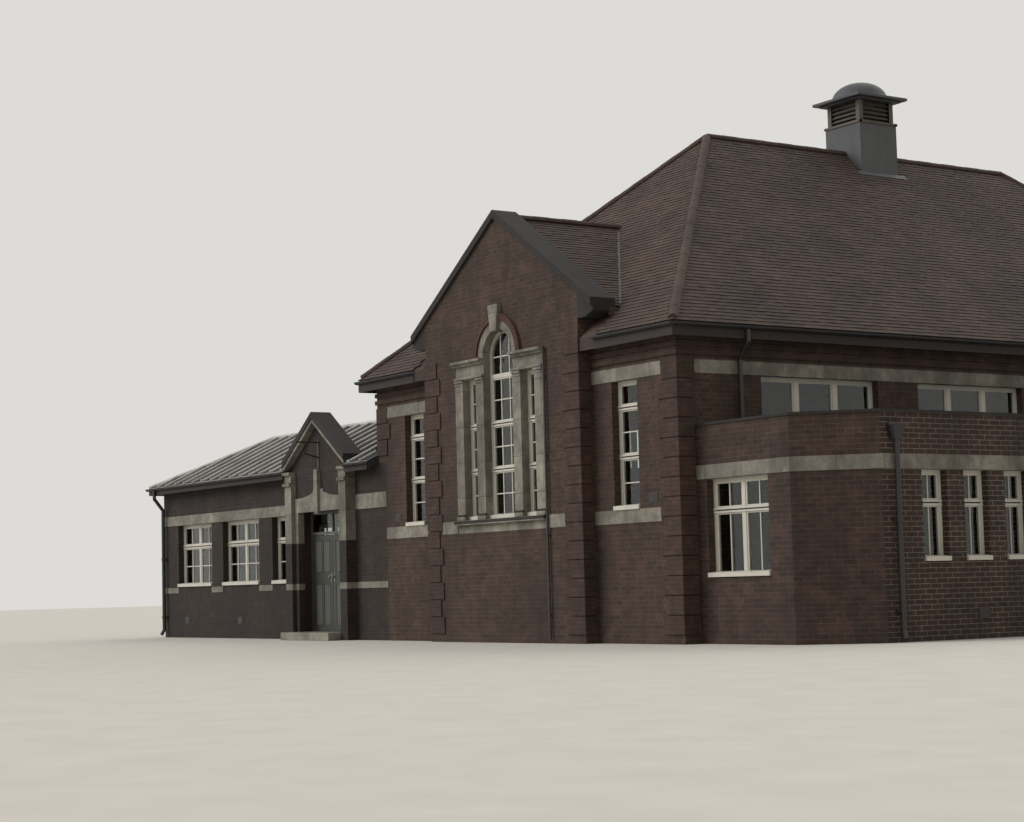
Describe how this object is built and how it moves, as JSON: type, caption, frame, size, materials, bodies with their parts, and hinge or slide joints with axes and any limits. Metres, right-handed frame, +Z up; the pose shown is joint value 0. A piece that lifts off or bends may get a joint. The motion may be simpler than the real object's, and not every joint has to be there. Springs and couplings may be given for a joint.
{
  "type": "church hall",
  "caption": "Edwardian brick and stone church hall with an arched Venetian window in a gabled bay, a low entrance wing and a ridge ventilator.",
  "frame": {"origin": "at ground level under the front wall plane of the hall, in the middle of the hall's width", "axes": "+X right along the street front, +Y into the building, +Z up"},
  "size_m": [22.259, 17.75, 10.5713],
  "materials": {
    "brick": "weathered red brick",
    "dark_brick": "dark red brick",
    "dressed_stone": "smooth buff stone",
    "dark_coping": "weathered dark stone",
    "clay_tile": "plain clay tiles",
    "zinc_sheet": "dull zinc sheet over rolls",
    "floor": "worn boards",
    "lead": "dull lead",
    "white_joinery": "white paint",
    "door_timber": "dark paint",
    "glass": "clear",
    "black_iron": "black paint"
  },
  "bodies": {
    "building": {"hall_floor": "floor", "wing_floor": "floor", "annex_floor": "floor", "hall_front_wall": "brick", "hall_rear_wall": "brick", "hall_right_wall": "brick", "hall_left_wall": "brick", "hall_base_walls": "brick", "bay_wall": "brick", "venetian_surround": "dressed_stone", "bay_hood": "dark_brick", "bay_coping": "dark_coping", "bay_roof": "clay_tile", "hall_roof_right": "clay_tile", "hall_roof_left": "clay_tile", "hall_roof_front": "clay_tile", "hall_roof_rear": "clay_tile", "string_courses": "brick", "quoins": "dark_brick", "wing_front_wall": "brick", "wing_link_wall": "brick", "wing_rear_wall": "brick", "wing_left_wall": "brick", "wing_roof_front": "zinc_sheet", "wing_roof_rear": "zinc_sheet", "wing_roof_hip": "zinc_sheet", "annex_front_wall": "brick", "annex_corner_walls": "brick", "annex_side_wall": "brick", "annex_rear_wall": "brick", "annex_roof": "lead", "stone_bands": "dressed_stone", "window_frames": "white_joinery", "window_glass": "glass", "bay_window_frames": "white_joinery", "bay_window_glass": "glass", "porch_piers": "brick", "porch_pilasters": "dressed_stone", "porch_gable_wall": "brick", "porch_lintel": "dressed_stone", "porch_coping": "dark_coping", "porch_raking_cornice": "dressed_stone", "porch_bracket": "black_iron", "door_step": "dressed_stone", "door_frame": "white_joinery", "fanlight_glass": "glass", "cupola_base": "lead", "cupola_louvres": "white_joinery", "cupola_dome": "lead", "gutters": "black_iron", "downpipes": "black_iron"},
    "door_left": {"door_leaf_left": "door_timber"},
    "door_right": {"door_leaf_right": "door_timber"}
  },
  "joints": [
    {"name": "door_left_hinge", "type": "hinge", "parent": "building", "child": "door_left", "pos_m": [-7.4815, 0.223, 1.1], "axis": [0, 0, 1], "range_deg": [0, 90]},
    {"name": "door_right_hinge", "type": "hinge", "parent": "building", "child": "door_right", "pos_m": [-5.8385, 0.223, 1.1], "axis": [0, 0, -1], "range_deg": [0, 90]}
  ]
}
